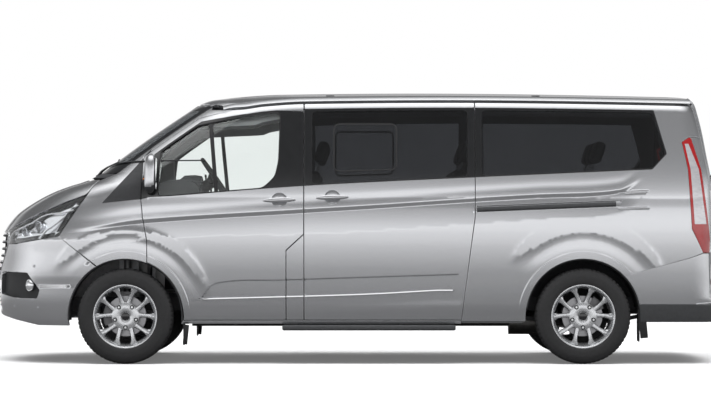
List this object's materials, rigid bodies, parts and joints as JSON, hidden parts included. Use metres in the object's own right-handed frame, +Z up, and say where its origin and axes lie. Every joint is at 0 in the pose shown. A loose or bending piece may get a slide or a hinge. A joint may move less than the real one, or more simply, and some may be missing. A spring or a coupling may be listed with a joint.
{
  "type": "minibus",
  "caption": "Long front-engined minibus with hinged front doors, sliding side doors, a top-hinged tailgate, a bonnet, steered front wheels and three rows of seats.",
  "frame": {"origin": "middle of the overall length and width, on the ground under the tyres", "axes": "-X towards the nose, -Y towards the left side, +Z up"},
  "size_m": [5.339, 2.269, 1.9867],
  "materials": {
    "body_paint": "satin metallic",
    "inner_steel": "matt",
    "black_plastic": "grained",
    "clear_glass": "clear",
    "dark_glass": "dark tinted",
    "red_lens": "gloss",
    "lamp_lens": "clear gloss",
    "chassis_steel": "matt black",
    "cast_metal": "raw",
    "steel_pipe": "dull",
    "trim_leather": "fine grain",
    "seat_fabric": "woven",
    "flap_rubber": "matt",
    "tyre_rubber": "matt",
    "alloy": "silver lacquer"
  },
  "bodies": {
    "body": {"roof_panel": "body_paint", "roof_frame": "inner_steel", "body_frame_front": "inner_steel", "body_frame_rear": "inner_steel", "front_wings": "body_paint", "quarter_panels": "body_paint", "cowl_panel": "black_plastic", "windscreen": "clear_glass", "tail_lamps": "red_lens", "front_bumper": "body_paint", "grille": "black_plastic", "headlamps": "lamp_lens", "rear_bumper": "body_paint", "sliding_door_left": "body_paint", "sliding_door_right": "body_paint", "side_windows": "dark_glass", "lower_side_panels": "body_paint", "floor_pan": "inner_steel", "bulkhead": "inner_steel", "wheel_arch_liners": "black_plastic", "chassis_rails": "chassis_steel", "engine_block": "cast_metal", "fuel_tank": "black_plastic", "exhaust": "steel_pipe", "front_subframe": "chassis_steel", "rear_axle": "chassis_steel", "leaf_springs": "chassis_steel", "dashboard": "black_plastic", "steering_column": "black_plastic", "front_seats": "seat_fabric", "second_row_seats": "seat_fabric", "third_row_seats": "seat_fabric", "side_steps": "black_plastic", "mud_flaps": "flap_rubber", "strut_towers": "chassis_steel", "rear_portal": "inner_steel", "radiator_panel": "chassis_steel", "seals": "flap_rubber"},
    "bonnet": {"bonnet": "body_paint"},
    "front_door_left": {"front_door_left": "body_paint", "front_door_glass_left": "clear_glass", "door_mirror_left": "body_paint"},
    "front_door_right": {"front_door_right": "body_paint", "front_door_glass_right": "clear_glass", "door_mirror_right": "body_paint"},
    "tailgate": {"tailgate": "body_paint", "tailgate_glass": "dark_glass"},
    "knuckle_left": {"knuckle_left": "chassis_steel"},
    "knuckle_right": {"knuckle_right": "chassis_steel"},
    "steering_wheel": {"steering_wheel": "trim_leather"},
    "wheel_front_left": {"tyre_front_left": "tyre_rubber", "rim_front_left": "alloy"},
    "wheel_front_right": {"tyre_front_right": "tyre_rubber", "rim_front_right": "alloy"},
    "wheel_rear_left": {"tyre_rear_left": "tyre_rubber", "rim_rear_left": "alloy"},
    "wheel_rear_right": {"tyre_rear_right": "tyre_rubber", "rim_rear_right": "alloy"}
  },
  "joints": [
    {"name": "bonnet_hinge", "type": "hinge", "parent": "body", "child": "bonnet", "pos_m": [-1.8665, 0, 1.352], "axis": [0, 1, 0], "range_deg": [0, 60]},
    {"name": "front_door_left_hinge", "type": "hinge", "parent": "body", "child": "front_door_left", "pos_m": [-1.5475, -0.992, 0.9], "axis": [0, 0, -1], "range_deg": [0, 70]},
    {"name": "front_door_right_hinge", "type": "hinge", "parent": "body", "child": "front_door_right", "pos_m": [-1.5475, 0.992, 0.9], "axis": [0, 0, 1], "range_deg": [0, 70]},
    {"name": "tailgate_hinge", "type": "hinge", "parent": "body", "child": "tailgate", "pos_m": [2.4435, 0, 1.938], "axis": [0, -1, 0], "range_deg": [0, 85]},
    {"name": "steer_left", "type": "hinge", "parent": "body", "child": "knuckle_left", "pos_m": [-1.6595, -0.8, 0.205], "axis": [0, 0.1681, 0.9858], "range_deg": [-34, 34]},
    {"name": "steer_right", "type": "hinge", "parent": "body", "child": "knuckle_right", "pos_m": [-1.6595, 0.8, 0.205], "axis": [0, -0.1681, 0.9858], "range_deg": [-34, 34]},
    {"name": "steering_wheel_spin", "type": "hinge", "parent": "body", "child": "steering_wheel", "pos_m": [-1.0295, -0.43, 1.342], "axis": [0.8192, 0, 0.5736], "range_deg": [-540, 540]},
    {"name": "wheel_front_left_spin", "type": "hinge", "parent": "knuckle_left", "child": "wheel_front_left", "pos_m": [-1.6595, -0.8685, 0.345], "axis": [0, 1, 0], "continuous": true},
    {"name": "wheel_front_right_spin", "type": "hinge", "parent": "knuckle_right", "child": "wheel_front_right", "pos_m": [-1.6595, 0.8685, 0.345], "axis": [0, 1, 0], "continuous": true},
    {"name": "wheel_rear_left_spin", "type": "hinge", "parent": "body", "child": "wheel_rear_left", "pos_m": [1.6405, -0.8685, 0.345], "axis": [0, 1, 0], "continuous": true},
    {"name": "wheel_rear_right_spin", "type": "hinge", "parent": "body", "child": "wheel_rear_right", "pos_m": [1.6405, 0.8685, 0.345], "axis": [0, 1, 0], "continuous": true}
  ],
  "couplings": [
    {"joint": "steer_right", "follows": "steer_left", "ratio": 1},
    {"joint": "steering_wheel_spin", "follows": "steer_left", "ratio": 15.5}
  ]
}
